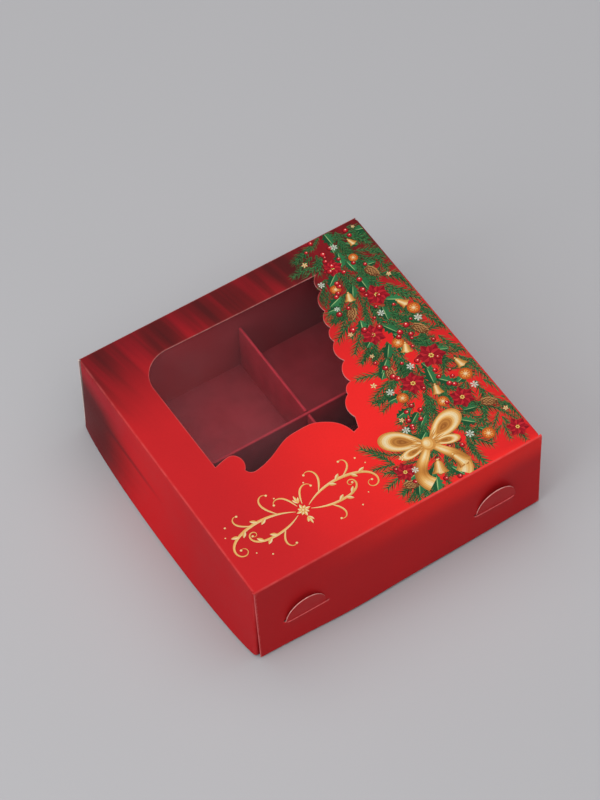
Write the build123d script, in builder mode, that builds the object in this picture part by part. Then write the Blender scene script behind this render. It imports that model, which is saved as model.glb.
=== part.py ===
from build123d import *
import os
from math import cos, radians, sin, tan

# Folding-carton sweet box: a windowed lid over a hollow-walled tray with a crossed divider.
# Millimetres, +Z up. The origin is on the table, under the middle of the box.
# The lid's locked front looks along -Y and its left wall along -X.

os.makedirs("parts", exist_ok=True)

# Board and film
board = 0.5
film_thickness = 0.15
crease_radius = 0.4

# Angle of the arch over each lock
half_turn = 180

# Lid
lid_width = 106.0
lid_depth = 106.0
lid_height = 36.5
lid_foot_gap = 0.3

# How far each side wall's foot bows out at the middle of its length
wall_bow = 3.6

# Corner flaps of the lid's side walls, tucked behind the front and back panels
flap_length = 29.5
flap_gap = 0.1
flap_trim = 0.7
flap_bevel = 5.0

# Half-moon locks: a tongue cut in each corner flap stands out through a slit
lock_inset = 17.4
lock_height = 12.5
tongue_width = 15.2
tongue_reach = 9.9
tongue_lean = 9.0
tongue_stand_off = 0.9
slit_gap = 0.15
slit_end_gap = 0.55

# Window, with its film glued under the lid's top
film_margin = 6.0
film_corner = 3.0

# Outline of the window as shares of the lid's width and depth, from the lid's middle.
# It runs up the left edge, round the rounded corner, along the back, down the scallops
# and home along the wave.
left_tip_shares = (-0.3615, -0.0660)
left_top_shares = (-0.3650, 0.2680)
corner_middle_shares = (-0.3370, 0.3500)
back_left_shares = (-0.2640, 0.3840)
back_right_shares = (0.2720, 0.3745)
scallop_shares = [
    (0.2540, 0.3150),
    (0.2210, 0.2425),
    (0.2010, 0.1800),
    (0.1820, 0.1300),
    (0.1680, 0.0530),
    (0.1415, -0.0225),
    (0.1085, -0.0575),
    (0.0810, -0.1385),
]
scallop_bulge_share = 0.2
wave_end_shares = (0.0680, -0.1765)
wave_tip_shares = (0.0480, -0.1820)
wave_shares = [
    (0.0368, -0.1470),
    (0.0217, -0.1255),
    (-0.0047, -0.1047),
    (-0.0396, -0.0890),
    (-0.0849, -0.0870),
    (-0.1264, -0.0905),
    (-0.1896, -0.1180),
    (-0.2377, -0.1360),
]
notch_right_shares = (-0.2700, -0.1415)
notch_bottom_shares = (-0.2850, -0.1358)
notch_left_shares = (-0.2930, -0.1215)
bump_shares = [
    (-0.2815, -0.1010),
    (-0.2830, -0.0755),
    (-0.2955, -0.0585),
    (-0.3290, -0.0570),
]

# Tray
lid_fit_gap = 0.4
rim_width_side = 11.1
rim_width_end = 10.5
well_floor_height = 8.0
glue_flap_gap = 1.0
glue_flap_trim = 1.5

# Crossed divider, each strip a doubled board folded over at its top
divider_leaves = 2
divider_height = 20.0
divider_end_gap = 0.3
divider_slot_gap = 0.35

# Levels and faces worked out from the sizes above
half_width = lid_width / 2
half_depth = lid_depth / 2
top_under = lid_height - board
side_in = half_width - board
panel_in = half_depth - board
flap_out = panel_in - flap_gap
flap_in = flap_out - board
rim_top = top_under - film_thickness
rim_under = rim_top - board
tray_half_width = side_in - lid_fit_gap
tray_half_depth = flap_in - lid_fit_gap
well_half_width = tray_half_width - rim_width_side
well_half_depth = tray_half_depth - rim_width_end
lock_x = half_width - lock_inset
slit_height = board + 2 * slit_gap
slit_length = tongue_width + 2 * slit_end_gap
tongue_root = lock_height - board / 2
tongue_bend = lock_height + board / 2
divider_thickness = divider_leaves * board

sides = {"left": -1, "right": 1}
ends = {"front": -1, "back": 1}


def save(built, name):
    """Labels a finished piece and writes it under its own name."""
    built.part.label = name
    export_step(built.part, f"parts/{name}.step")


def on_lid(shares):
    """A point of the window's outline, in millimetres."""
    return (shares[0] * lid_width, shares[1] * lid_depth)


# Window outline
with BuildSketch() as window:
    with BuildLine():
        Line(on_lid(left_tip_shares), on_lid(left_top_shares))
        ThreePointArc(
            on_lid(left_top_shares), on_lid(corner_middle_shares), on_lid(back_left_shares)
        )
        Line(on_lid(back_left_shares), on_lid(back_right_shares))
        cusps = [Vector(*on_lid(shares)) for shares in [back_right_shares] + scallop_shares]
        for start, end in zip(cusps, cusps[1:]):
            SagittaArc(start, end, -scallop_bulge_share * (end - start).length)
        Line(on_lid(scallop_shares[-1]), on_lid(wave_end_shares))
        Line(on_lid(wave_end_shares), on_lid(wave_tip_shares))
        Spline(*[on_lid(shares) for shares in [wave_tip_shares] + wave_shares + [notch_right_shares]])
        ThreePointArc(
            on_lid(notch_right_shares), on_lid(notch_bottom_shares), on_lid(notch_left_shares)
        )
        Spline(*[on_lid(shares) for shares in [notch_left_shares] + bump_shares + [left_tip_shares]])
    make_face()

# Lid top, with the window and rounded creases all round
with BuildPart() as lid_top_panel:
    with BuildSketch(Plane.XY.offset(top_under)):
        Rectangle(lid_width, lid_depth)
        add(window.sketch, mode=Mode.SUBTRACT)
    extrude(amount=board)
    top_rim = lid_top_panel.faces().sort_by(Axis.Z)[-1].outer_wire().edges()
    fillet(top_rim, radius=crease_radius)
save(lid_top_panel, "lid_top_panel")

# Clear film, glued under the top all round the window
window_box = window.sketch.bounding_box()
with BuildPart() as window_film:
    with BuildSketch(Plane.XY.offset(rim_top)):
        with Locations((window_box.center().X, window_box.center().Y)):
            RectangleRounded(
                window_box.size.X + 2 * film_margin, window_box.size.Y + 2 * film_margin, film_corner
            )
    extrude(amount=film_thickness)
save(window_film, "window_film")

# Front and back panels, folded down last, each with two lock slits
panel_height = top_under - lid_foot_gap
for end, toward in ends.items():
    with BuildPart() as lid_panel:
        outer_offset = panel_in if toward < 0 else -half_depth
        with BuildSketch(Plane.XZ.offset(outer_offset)):
            with Locations((0, lid_foot_gap + panel_height / 2)):
                Rectangle(lid_width, panel_height)
            with Locations((-lock_x, lock_height), (lock_x, lock_height)):
                SlotOverall(slit_length, slit_height, mode=Mode.SUBTRACT)
        extrude(amount=board)
    save(lid_panel, f"lid_{end}_panel")


def long_edge(x, bow):
    """One long edge of a side wall, seen from above: straight, or an arc where the wall bows."""
    if bow:
        return ThreePointArc((x, -flap_out), (x + bow, 0), (x, flap_out))
    return Line((x, -flap_out), (x, flap_out))


# Left and right walls, straight along the top and bowed out at the foot, with a rounded
# upright crease at each end
for side, way in sides.items():
    with BuildPart() as lid_wall:
        for level, bow in ((lid_foot_gap, wall_bow), (top_under, 0)):
            with BuildSketch(Plane.XY.offset(level)) as wall_section:
                with BuildLine():
                    outer_edge = long_edge(way * half_width, way * bow)
                    inner_edge = long_edge(way * side_in, way * bow)
                    Line(outer_edge @ 0, inner_edge @ 0)
                    Line(outer_edge @ 1, inner_edge @ 1)
                make_face()
                outer_corners = wall_section.vertices().group_by(Axis.X)[0 if way < 0 else -1]
                fillet(outer_corners, radius=crease_radius)
        loft(ruled=True)
    save(lid_wall, f"lid_{side}_wall")

# Corner flaps with the half-moon cut that the tongue left, and the tongues themselves
flap_low = lid_foot_gap + flap_trim
flap_high = top_under - flap_trim
flap_free = side_in - flap_length
lean = radians(tongue_lean)
upright_in = half_depth + tongue_stand_off
tongue_run = upright_in - flap_in
tongue_profile = [
    (flap_in, tongue_root),
    (upright_in + board * cos(lean) - board * (1 - sin(lean)) * tan(lean), tongue_root),
    (
        upright_in + tongue_reach * sin(lean) + board * cos(lean),
        tongue_bend + tongue_reach * cos(lean) - board * sin(lean),
    ),
    (upright_in + tongue_reach * sin(lean), tongue_bend + tongue_reach * cos(lean)),
    (upright_in, tongue_bend),
    (flap_in, tongue_bend),
]
for end, toward in ends.items():
    for side, way in sides.items():
        with BuildPart() as flap:
            inner_offset = flap_in if toward < 0 else -flap_out
            with BuildSketch(Plane.XZ.offset(inner_offset)):
                with BuildLine():
                    Polyline(
                        (way * side_in, flap_low),
                        (way * (flap_free + flap_bevel), flap_low),
                        (way * flap_free, flap_low + flap_bevel),
                        (way * flap_free, flap_high - flap_bevel),
                        (way * (flap_free + flap_bevel), flap_high),
                        (way * side_in, flap_high),
                        close=True,
                    )
                make_face()
                with BuildLine():
                    cut = EllipticalCenterArc(
                        (way * lock_x, tongue_root),
                        tongue_width / 2,
                        tongue_run + tongue_reach,
                        start_angle=0,
                        arc_size=half_turn,
                    )
                    Line(cut @ 1, cut @ 0)
                make_face(mode=Mode.SUBTRACT)
            extrude(amount=board)
        save(flap, f"lid_flap_{end}_{side}")

        with BuildPart() as tongue:
            with BuildSketch(
                Plane(origin=(way * lock_x, 0, 0), x_dir=(0, toward, 0), z_dir=(toward, 0, 0))
            ):
                with BuildLine():
                    Polyline(*tongue_profile, close=True)
                make_face()
            extrude(amount=tongue_width / 2, both=True)
            with BuildSketch(Plane.XZ):
                with BuildLine():
                    arch = EllipticalCenterArc(
                        (way * lock_x, tongue_bend),
                        tongue_width / 2,
                        tongue_reach * cos(lean),
                        start_angle=0,
                        arc_size=half_turn,
                    )
                    Polyline(
                        arch @ 1,
                        (way * lock_x - tongue_width / 2, tongue_root),
                        (way * lock_x + tongue_width / 2, tongue_root),
                        arch @ 0,
                    )
                make_face()
            extrude(amount=lid_depth, both=True, mode=Mode.INTERSECT)
        save(tongue, f"lock_tongue_{end}_{side}")

# Tray floor
with BuildPart() as tray_floor:
    with BuildSketch():
        Rectangle(2 * tray_half_width, 2 * tray_half_depth)
    extrude(amount=board)
save(tray_floor, "tray_floor")

# Tray outer walls, inner walls and mitred rims, with the well's raised floor between them
for end, toward in ends.items():
    with BuildPart() as tray_outer:
        with BuildSketch(Plane.XY.offset(board)):
            with Locations((0, toward * (tray_half_depth - board / 2))):
                Rectangle(2 * tray_half_width, board)
        extrude(amount=rim_under - board)
    save(tray_outer, f"tray_outer_wall_{end}")

    with BuildPart() as tray_inner:
        with BuildSketch(Plane.XY.offset(well_floor_height)):
            with Locations((0, toward * (well_half_depth + board / 2))):
                Rectangle(2 * (well_half_width + board), board)
        extrude(amount=rim_under - well_floor_height)
    save(tray_inner, f"tray_inner_wall_{end}")

    with BuildPart() as tray_rim:
        with BuildSketch(Plane.XY.offset(rim_under)):
            with BuildLine():
                Polyline(
                    (-tray_half_width, toward * tray_half_depth),
                    (tray_half_width, toward * tray_half_depth),
                    (well_half_width, toward * well_half_depth),
                    (-well_half_width, toward * well_half_depth),
                    close=True,
                )
            make_face()
        extrude(amount=board)
    save(tray_rim, f"tray_rim_{end}")

for side, way in sides.items():
    with BuildPart() as tray_outer:
        with BuildSketch(Plane.XY.offset(board)):
            with Locations((way * (tray_half_width - board / 2), 0)):
                Rectangle(board, 2 * (tray_half_depth - board))
        extrude(amount=rim_under - board)
    save(tray_outer, f"tray_outer_wall_{side}")

    with BuildPart() as tray_inner:
        with BuildSketch(Plane.XY.offset(well_floor_height)):
            with Locations((way * (well_half_width + board / 2), 0)):
                Rectangle(board, 2 * well_half_depth)
        extrude(amount=rim_under - well_floor_height)
    save(tray_inner, f"tray_inner_wall_{side}")

    with BuildPart() as tray_rim:
        with BuildSketch(Plane.XY.offset(rim_under)):
            with BuildLine():
                Polyline(
                    (way * tray_half_width, -tray_half_depth),
                    (way * tray_half_width, tray_half_depth),
                    (way * well_half_width, well_half_depth),
                    (way * well_half_width, -well_half_depth),
                    close=True,
                )
            make_face()
        extrude(amount=board)
    save(tray_rim, f"tray_rim_{side}")

with BuildPart() as well_floor:
    with BuildSketch(Plane.XY.offset(well_floor_height - board)):
        Rectangle(2 * (well_half_width + board), 2 * (well_half_depth + board))
    extrude(amount=board)
save(well_floor, "tray_well_floor")

# Glue flaps of the tray's side walls, inside the hollow walls at the four corners
glue_flap_outer = tray_half_width - board
glue_flap_length = glue_flap_outer - well_half_width - board - glue_flap_gap
glue_flap_low = board + glue_flap_trim
glue_flap_high = rim_under - glue_flap_trim
for end, toward in ends.items():
    for side, way in sides.items():
        with BuildPart() as glue_flap:
            with BuildSketch(Plane.XY.offset(glue_flap_low)):
                with Locations(
                    (
                        way * (glue_flap_outer - glue_flap_length / 2),
                        toward * (tray_half_depth - board - board / 2),
                    )
                ):
                    Rectangle(glue_flap_length, board)
            extrude(amount=glue_flap_high - glue_flap_low)
        save(glue_flap, f"tray_glue_flap_{end}_{side}")

# Divider strips, half-lapped at the middle and folded along their tops
divider_middle = well_floor_height + divider_height / 2
slot_width = divider_thickness + 2 * divider_slot_gap
fold_radius = divider_thickness / 2 - (board - crease_radius)
with BuildPart() as divider_crosswise:
    with BuildSketch(Plane.XZ):
        with Locations((0, divider_middle)):
            Rectangle(2 * (well_half_width - divider_end_gap), divider_height)
        with Locations((0, well_floor_height + divider_height / 4)):
            Rectangle(slot_width, divider_height / 2, mode=Mode.SUBTRACT)
    extrude(amount=divider_thickness / 2, both=True)
    fillet(divider_crosswise.edges().filter_by(Axis.X).group_by(Axis.Z)[-1], radius=fold_radius)
save(divider_crosswise, "divider_crosswise")

with BuildPart() as divider_lengthwise:
    with BuildSketch(Plane.YZ):
        with Locations((0, divider_middle)):
            Rectangle(2 * (well_half_depth - divider_end_gap), divider_height)
        with Locations((0, divider_middle + divider_height / 4)):
            Rectangle(slot_width, divider_height / 2, mode=Mode.SUBTRACT)
    extrude(amount=divider_thickness / 2, both=True)
    fillet(divider_lengthwise.edges().filter_by(Axis.Y).group_by(Axis.Z)[-1], radius=fold_radius)
save(divider_lengthwise, "divider_lengthwise")
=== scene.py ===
from functools import partial
from math import cos, pi, radians, sin

import bmesh
import bpy
import numpy as np
from mathutils import Matrix, Vector, geometry


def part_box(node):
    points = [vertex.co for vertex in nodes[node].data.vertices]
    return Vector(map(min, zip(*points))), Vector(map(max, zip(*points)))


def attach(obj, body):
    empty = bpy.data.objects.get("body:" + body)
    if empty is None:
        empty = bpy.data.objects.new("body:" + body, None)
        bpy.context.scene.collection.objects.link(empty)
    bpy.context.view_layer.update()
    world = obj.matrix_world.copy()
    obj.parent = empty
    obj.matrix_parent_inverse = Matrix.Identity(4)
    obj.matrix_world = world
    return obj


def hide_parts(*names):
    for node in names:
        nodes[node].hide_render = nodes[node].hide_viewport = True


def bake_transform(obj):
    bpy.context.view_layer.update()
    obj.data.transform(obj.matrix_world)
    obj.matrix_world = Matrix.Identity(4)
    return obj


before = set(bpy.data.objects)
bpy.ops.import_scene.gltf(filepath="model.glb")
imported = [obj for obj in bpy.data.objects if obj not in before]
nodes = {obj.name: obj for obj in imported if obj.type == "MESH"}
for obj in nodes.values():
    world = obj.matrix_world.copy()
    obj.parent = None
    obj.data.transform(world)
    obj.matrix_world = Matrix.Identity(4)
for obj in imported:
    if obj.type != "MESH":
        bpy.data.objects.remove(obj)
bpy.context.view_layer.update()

MM = 0.001

# Sizes of the lid, read from the frame
low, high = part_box("lid_top_panel")
half_width, half_depth = high.x, high.y
lid_top = high.z
foot_lift = 0.4 * MM
wall_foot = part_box("lid_front_panel")[0].z + foot_lift
flap_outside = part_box("lid_flap_front_left")[0].y

# Board and print
print_depth = 0.10 * MM
board_top = lid_top - print_depth
board = board_top - low.z
tongue_board = 0.3 * MM
sharp_angle = 35
sheet_scale = 10
crease_radius = 0.7 * MM
corner_fold_radius = 1.2 * MM
crease_end = board_top - crease_radius
rubbed_width, edge_wear = 0.3 * MM, 0.7
cut_margin = 0.15 * MM
touching = 0.001 * MM

# Front and back panels: how far their edges slant, the right one's overhang, and where their locks sit
left_edge_taper, right_edge_taper = 0.4 * MM, -0.1 * MM
edge_gap = 0.1 * MM
overhang = {"front": 0.5 * MM, "back": 0.1 * MM}
left_lock_lift, right_lock_lift = 0.65 * MM, 1.0 * MM
left_slit_inward = 0.3 * MM

# How far the lid's walls and panels bow out at their feet, and the lip below each lock
side_bow, end_bow = 3.5 * MM, 1.15 * MM
lip_stand, lip_height = 1.6 * MM, 3.0 * MM
crease_flare = 0.4 * MM
flap_flare = 0.5 * MM

# Swells of the front and back panels, at the foot and at the waist: height, middle and reach of each
foot_rise, foot_middle, foot_reach = 0.4 * MM, 6 * MM, 24 * MM
foot_swells = (
    (0.9 * MM, -20 * MM, 18 * MM), (0.6 * MM, foot_middle, foot_reach), (-0.45 * MM, half_width, 15 * MM))
waist_swells = (0.3 * MM, 26 * MM, 8 * MM), (-0.25 * MM, 46 * MM, 6 * MM), (0.15 * MM, 0, 30 * MM)

# The hollow above each lock: its depth, how far above the slit, and its reach across and up
hollow_depth, hollow_rise, hollow_wide, hollow_high = 0.12 * MM, 9 * MM, 9 * MM, 6 * MM


def ink(red, green, blue):
    """A printed colour, given from 0 to 255, as the linear values that a material holds."""
    parts = (np.array((red, green, blue)) / 255.0).clip(0, 1)
    linear = np.where(parts <= 0.04045, parts / 12.92, ((parts + 0.055) / 1.055) ** 2.4)
    return (*(float(p) for p in linear), 1.0)


# Outlines and blanks
def face_outlines(node, axis, side):
    """Closed outlines of the flat face that bounds a CAD node on one side, the longest first."""
    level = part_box(node)[side][axis]
    across = [a for a in range(3) if a != axis]
    mesh = nodes[node].data
    follows = {}
    for face in mesh.polygons:
        corners = [mesh.vertices[i].co for i in face.vertices]
        if any(abs(c[axis] - level) > touching for c in corners):
            continue
        keys = [tuple(round(c[a] / touching) for a in across) for c in corners]
        for here, there in zip(keys, keys[1:] + keys[:1]):
            if (there, here) in follows:
                del follows[(there, here)]
            else:
                follows[(here, there)] = True
    after = {here: there for here, there in follows}
    loops = []
    while after:
        start, here = after.popitem()
        loop = [start]
        while here != start:
            loop.append(here)
            here = after.pop(here)
        loops.append([(a * touching, b * touching) for a, b in loop])
    return sorted(loops, key=lambda loop: -np.ptp(np.array(loop), axis=0).sum())


def inside(points, loop):
    """Which of the points lie inside a closed outline."""
    p, q = np.array(points, float).reshape(-1, 2), np.array(loop, float)
    r = np.roll(q, -1, 0)
    x, y = p[:, :1], p[:, 1:]
    crosses = (q[:, 1] > y) != (r[:, 1] > y)
    rise = np.where(r[:, 1] == q[:, 1], 1.0, r[:, 1] - q[:, 1])
    return (crosses & (x < q[:, 0] + (r[:, 0] - q[:, 0]) * (y - q[:, 1]) / rise)).sum(1) % 2 == 1


def gap_to(points, loop):
    """How far each point lies from a closed outline."""
    p, q = np.array(points, float).reshape(-1, 1, 2), np.array(loop, float)
    d = np.roll(q, -1, 0) - q
    share = (((p - q) * d).sum(2) / np.maximum((d * d).sum(1), 1e-18)).clip(0, 1)
    return np.linalg.norm(p - q - share[..., None] * d, axis=2).min(1)


def beside(loop, gap, within):
    """Points at a gap from a closed outline, on its inner side or its outer one."""
    here = np.array(loop, float)
    way = np.roll(here, -1, 0) - np.roll(here, 1, 0)
    aside = np.column_stack((way[:, 1], -way[:, 0])) / np.linalg.norm(way, axis=1)[:, None] * gap
    spots = np.vstack((here + aside, here - aside))
    kept = (inside(spots, loop) == within) & (gap_to(spots, loop) > 0.9 * gap)
    return [(float(u), float(v)) for u, v in spots[kept]]


def rub_beside(u, v, loops, wear_and_highlight_amount):
    """Wear of the print beside a cut edge: most at the edge, none a little way in."""
    gap = min(float(gap_to([(u, v)], loop)[0]) for loop in loops)
    return wear_and_highlight_amount * max(0.0, 1 - gap / rubbed_width)


def blank(outline, holes=(), columns=(), rows=(), extra=()):
    """A flat blank cut to its outline, with inner points where columns and rows cross, ready to bend."""
    loops = [outline, *holes]
    points, edges = [], []
    for loop in loops:
        first, count = len(points), len(loop)
        points += loop
        edges += [(first + i, first + (i + 1) % count) for i in range(count)]
    grid = [(u, v) for u in columns for v in rows]
    if grid:
        fits = inside(grid, outline)
        for loop in loops:
            fits &= gap_to(grid, loop) > cut_margin
        for loop in holes:
            fits &= ~inside(grid, loop)
        points += [p for p, kept in zip(grid, fits) if kept]
    points += extra
    spots, _, faces, *_ = geometry.delaunay_2d_cdt([Vector(p) for p in points], edges, [], 0, touching / 10)
    middles = [sum((spots[i] for i in f), Vector((0, 0))) / len(f) for f in faces]
    solid = inside(middles, outline)
    for loop in holes:
        solid &= ~inside(middles, loop)
    kept = []
    for face, is_board in zip(faces, solid):
        if is_board:
            a, b, c = (spots[i] for i in face)
            kept.append(tuple(face) if (b - a).cross(c - a) > 0 else tuple(reversed(face)))
    return spots, kept


def linked(name, data):
    """A new object in the scene, at the origin."""
    made = bpy.data.objects.new(name, data)
    bpy.context.scene.collection.objects.link(made)
    return made


def finish_mesh(name, points, faces, looks, marks, place_of, wear_and_highlight):
    """A mesh object at the origin with its materials, its place on the printed sheet, and how far its ink is
    thinned by rubbing and lightened as a painted highlight.
    """
    mesh = bpy.data.meshes.new(name)
    mesh.from_pydata([tuple(p) for p in points], [], faces)
    for look in looks:
        mesh.materials.append(look)
    mesh.polygons.foreach_set("material_index", marks)
    layer = mesh.uv_layers.new(name="printed sheet")
    corners = np.array([place_of[loop.vertex_index] for loop in mesh.loops], np.float32)
    layer.uv.foreach_set("vector", corners.ravel())
    wear_and_highlight_amount = mesh.attributes.new("wear_and_highlight", "FLOAT", "POINT")
    wear_and_highlight_amount.data.foreach_set("value", np.array(wear_and_highlight, np.float32))
    mesh.polygons.foreach_set("use_smooth", [True] * len(faces))
    mesh.set_sharp_from_angle(angle=radians(sharp_angle))
    mesh.update()
    return linked(name, mesh)


def fold(name, flat, lie, looks, thickness=board):
    """A folded sheet of board: lie gives each point its place, outward normal, printed place, and its ink's
    paling, from rubbing and from painted highlights on folds.
    """
    spots, faces = flat
    laid = [lie(s.x, s.y) for s in spots]
    outer = [p for p, *_ in laid]
    inner = [p - n * thickness for p, n, *_ in laid]
    count = len(spots)
    used = {}
    for face in faces:
        for here, there in zip(face, face[1:] + face[:1]):
            if (there, here) in used:
                del used[(there, here)]
            else:
                used[(here, there)] = True
    backs = [tuple(i + count for i in reversed(face)) for face in faces]
    rims = [(there, here, here + count, there + count) for here, there in used]
    place = [(x * sheet_scale, y * sheet_scale) for _, _, (x, y), _ in laid]
    wear_and_highlight = [w for *_, w in laid] + [0.0] * count
    marks = [0] * len(faces) + [1] * len(backs) + [2] * len(rims)
    return finish_mesh(name, outer + inner, faces + backs + rims, looks, marks, place * 2, wear_and_highlight)


# Sides of the lid: which way each faces, which way its width runs, and how far out it stands
class Side:
    def __init__(self, out, reach, half_length):
        self.out = Vector((*out, 0))
        self.along = Vector((-out[1], out[0], 0))
        self.reach, self.half_length = reach, half_length

    def at(self, u, out, z):
        return self.along * u + self.out * out + Vector((0, 0, z))

    def printed(self, u, down):
        """Where a point lies on the unfolded sheet, at a distance down from the top's edge."""
        spot = self.along * u + self.out * (self.reach - crease_radius + down)
        return (spot.x, spot.y)


front = Side((0, -1), half_depth, half_width)
back = Side((0, 1), half_depth, half_width)
left = Side((-1, 0), half_width, half_depth)
right = Side((1, 0), half_width, half_depth)
crease_run = crease_radius * pi / 2


def spread(start, end, step):
    """Evenly spaced values from start to end, about a step apart."""
    return [float(v) for v in np.linspace(start, end, max(2, round((end - start) / step) + 1))]


def hump(value, middle, reach):
    return float(np.exp(-(((value - middle) / reach) ** 2)))


def swell(u, swells):
    return sum(height * hump(u, middle, reach) for height, middle, reach in swells)


def drop_at(v):
    """How far down a wall a level lies: 0 at the crease, 1 at the foot."""
    return min(1.0, max(0.0, (crease_end - v) / (crease_end - wall_foot)))


def divided(loop, step):
    """A closed outline with points added, so that no edge is longer than a step."""
    points = []
    for (x0, y0), (x1, y1) in zip(loop, loop[1:] + loop[:1]):
        count = max(1, round(np.hypot(x1 - x0, y1 - y0) / step))
        points += [(x0 + (x1 - x0) * i / count, y0 + (y1 - y0) * i / count) for i in range(count)]
    return points


# Shader nodes
def add(tree, kind, inputs=None, **settings):
    """Places a node, sets its options, and feeds each input a value or another node's output."""
    made = tree.nodes.new(kind)
    for name, value in settings.items():
        setattr(made, name, value)
    for name, value in (inputs or {}).items():
        if isinstance(value, bpy.types.NodeSocket):
            tree.links.new(value, made.inputs[name])
        else:
            made.inputs[name].default_value = value
    return made


def maths(tree, operation, a, b=0.0, c=0.0, clamp=False):
    made = add(tree, "ShaderNodeMath", {0: a, 1: b, 2: c}, operation=operation, use_clamp=clamp)
    return made.outputs[0]


def ease(tree, value, start, end, low=0.0, high=1.0):
    """Runs smoothly from low to high as value goes from start to end."""
    inputs = {0: value, 1: start, 2: end, 3: low, 4: high}
    return add(tree, "ShaderNodeMapRange", inputs, interpolation_type="SMOOTHSTEP").outputs[0]


def blend_colours(tree, share, a, b, how="MIX"):
    made = add(tree, "ShaderNodeMix", data_type="RGBA", blend_type=how)
    for name, value in ((0, share), (6, a), (7, b)):
        if isinstance(value, bpy.types.NodeSocket):
            tree.links.new(value, made.inputs[name])
        else:
            made.inputs[name].default_value = value
    return made.outputs[2]


def noise(tree, place, scale, detail=2.0, roughness=0.5):
    inputs = {"Vector": place, "Scale": scale, "Detail": detail, "Roughness": roughness}
    return add(tree, "ShaderNodeTexNoise", inputs).outputs["Fac"]


def ramp(tree, share, *stops):
    """Runs through printed colours; each stop is a place on the ramp, then red, green and blue."""
    made = add(tree, "ShaderNodeValToRGB", {0: share})
    while len(made.color_ramp.elements) < len(stops):
        made.color_ramp.elements.new(0.5)
    for element, (at, *colour) in zip(made.color_ramp.elements, stops):
        element.position, element.color = at, ink(*colour)
    return made.outputs["Color"]


def new_group(name, inputs, outputs):
    tree = bpy.data.node_groups.new(name, "ShaderNodeTree")
    for label, kind in inputs:
        tree.interface.new_socket(label, in_out="INPUT", socket_type=kind)
    for label, kind in outputs:
        tree.interface.new_socket(label, in_out="OUTPUT", socket_type=kind)
    return tree, tree.nodes.new("NodeGroupInput").outputs, tree.nodes.new("NodeGroupOutput").inputs


def use(tree, group, **inputs):
    made = tree.nodes.new("ShaderNodeGroup")
    made.node_tree = group
    for name, value in inputs.items():
        socket = made.inputs[name.replace("_", " ")]
        if isinstance(value, bpy.types.NodeSocket):
            tree.links.new(value, socket)
        else:
            socket.default_value = value
    return made.outputs


COLOUR, VALUE, VECTOR = "NodeSocketColor", "NodeSocketFloat", "NodeSocketVector"

# Paper fibre: a faint mottle in the coating and a fine tooth in its surface
fibre, given, result = new_group(
    "paper fibre", [("Place", VECTOR), ("Tooth", VALUE)], [("Mottle", VALUE), ("Normal", VECTOR)])
grains = (60.0, 3.0), (1400.0, 2.0), (38.0, 1.0)
cloudy, fine, rolling = (noise(fibre, given["Place"], scale, detail) for scale, detail in grains)
mottle = maths(fibre, "MULTIPLY_ADD", fine, 0.4, maths(fibre, "MULTIPLY", cloudy, 0.6))
fibre.links.new(mottle, result["Mottle"])
tooth = add(fibre, "ShaderNodeBump", {"Strength": given["Tooth"], "Distance": 0.02 * MM, "Height": fine})
rolls = {"Strength": 0.5, "Distance": 0.12 * MM, "Height": rolling, "Normal": tooth.outputs[0]}
fibre.links.new(add(fibre, "ShaderNodeBump", rolls).outputs[0], result["Normal"])

# Red print: a warm glow low on the right of the top, turning to dark streaked folds at the back
folds_from, folds_to = 0.08, 0.5
red_print, given, result = new_group("red print", [("Place", VECTOR)], [("Colour", COLOUR)])
calc, fade, mix = (partial(helper, red_print) for helper in (maths, ease, blend_colours))
spot = add(red_print, "ShaderNodeSeparateXYZ", {0: given["Place"]})
across, along = spot.outputs[0], spot.outputs[1]
slant = calc("MULTIPLY_ADD", along, 0.16, across)


def streaks(turns, slow, detail):
    """Noise drawn out along the folds: turns across them, and slow changes along them."""
    place = {0: calc("MULTIPLY", slant, turns), 1: calc("MULTIPLY", along, slow)}
    return noise(red_print, add(red_print, "ShaderNodeCombineXYZ", place).outputs[0], 1.0, detail)


broad, narrow = streaks(7.5, 1.1, 1.0), streaks(30.0, 1.6, 2.0)
glow_x = calc("MULTIPLY", calc("SUBTRACT", across, 0.16), 1.35)
glow_y = calc("MULTIPLY", calc("ADD", along, 0.26), 1.15)
away = calc("SQRT", calc("ADD", calc("MULTIPLY", glow_x, glow_x), calc("MULTIPLY", glow_y, glow_y)))
glow = calc("MULTIPLY", fade(away, 0.85, 0.1), fade(along, -0.72, -0.5))
plain = mix(glow, ink(197, 35, 39), ink(240, 42, 40))
mixed = calc("ADD", calc("MULTIPLY", broad, 0.72), calc("MULTIPLY", narrow, 0.28))
mixed = calc("MULTIPLY_ADD", fade(across, -0.37, -0.43), 0.06, mixed)
beside_window = fade(calc("ABSOLUTE", calc("ADD", across, 0.25)), 0.09, 0.04)
mixed = calc("MULTIPLY_ADD", beside_window, -0.12, mixed)
curtain_inks = (0.0, 80, 27, 28), (0.45, 106, 27, 30), (0.8, 132, 26, 33), (1.0, 146, 27, 34)
curtain = ramp(red_print, fade(mixed, 0.36, 0.66), *curtain_inks)
ragged = calc("MULTIPLY_ADD", calc("SUBTRACT", mixed, 0.5), -0.3, along)
depth_of_fold = fade(ragged, folds_from, folds_to)
over_front = calc("MULTIPLY", fade(along, -0.66, -0.55), fade(along, -0.5, -0.54))
over_front = calc("MULTIPLY", over_front, fade(across, -0.35, 0.3))
plain = mix(over_front, plain, ink(252, 46, 42))
top_colour = mix(depth_of_fold, plain, curtain)

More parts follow.
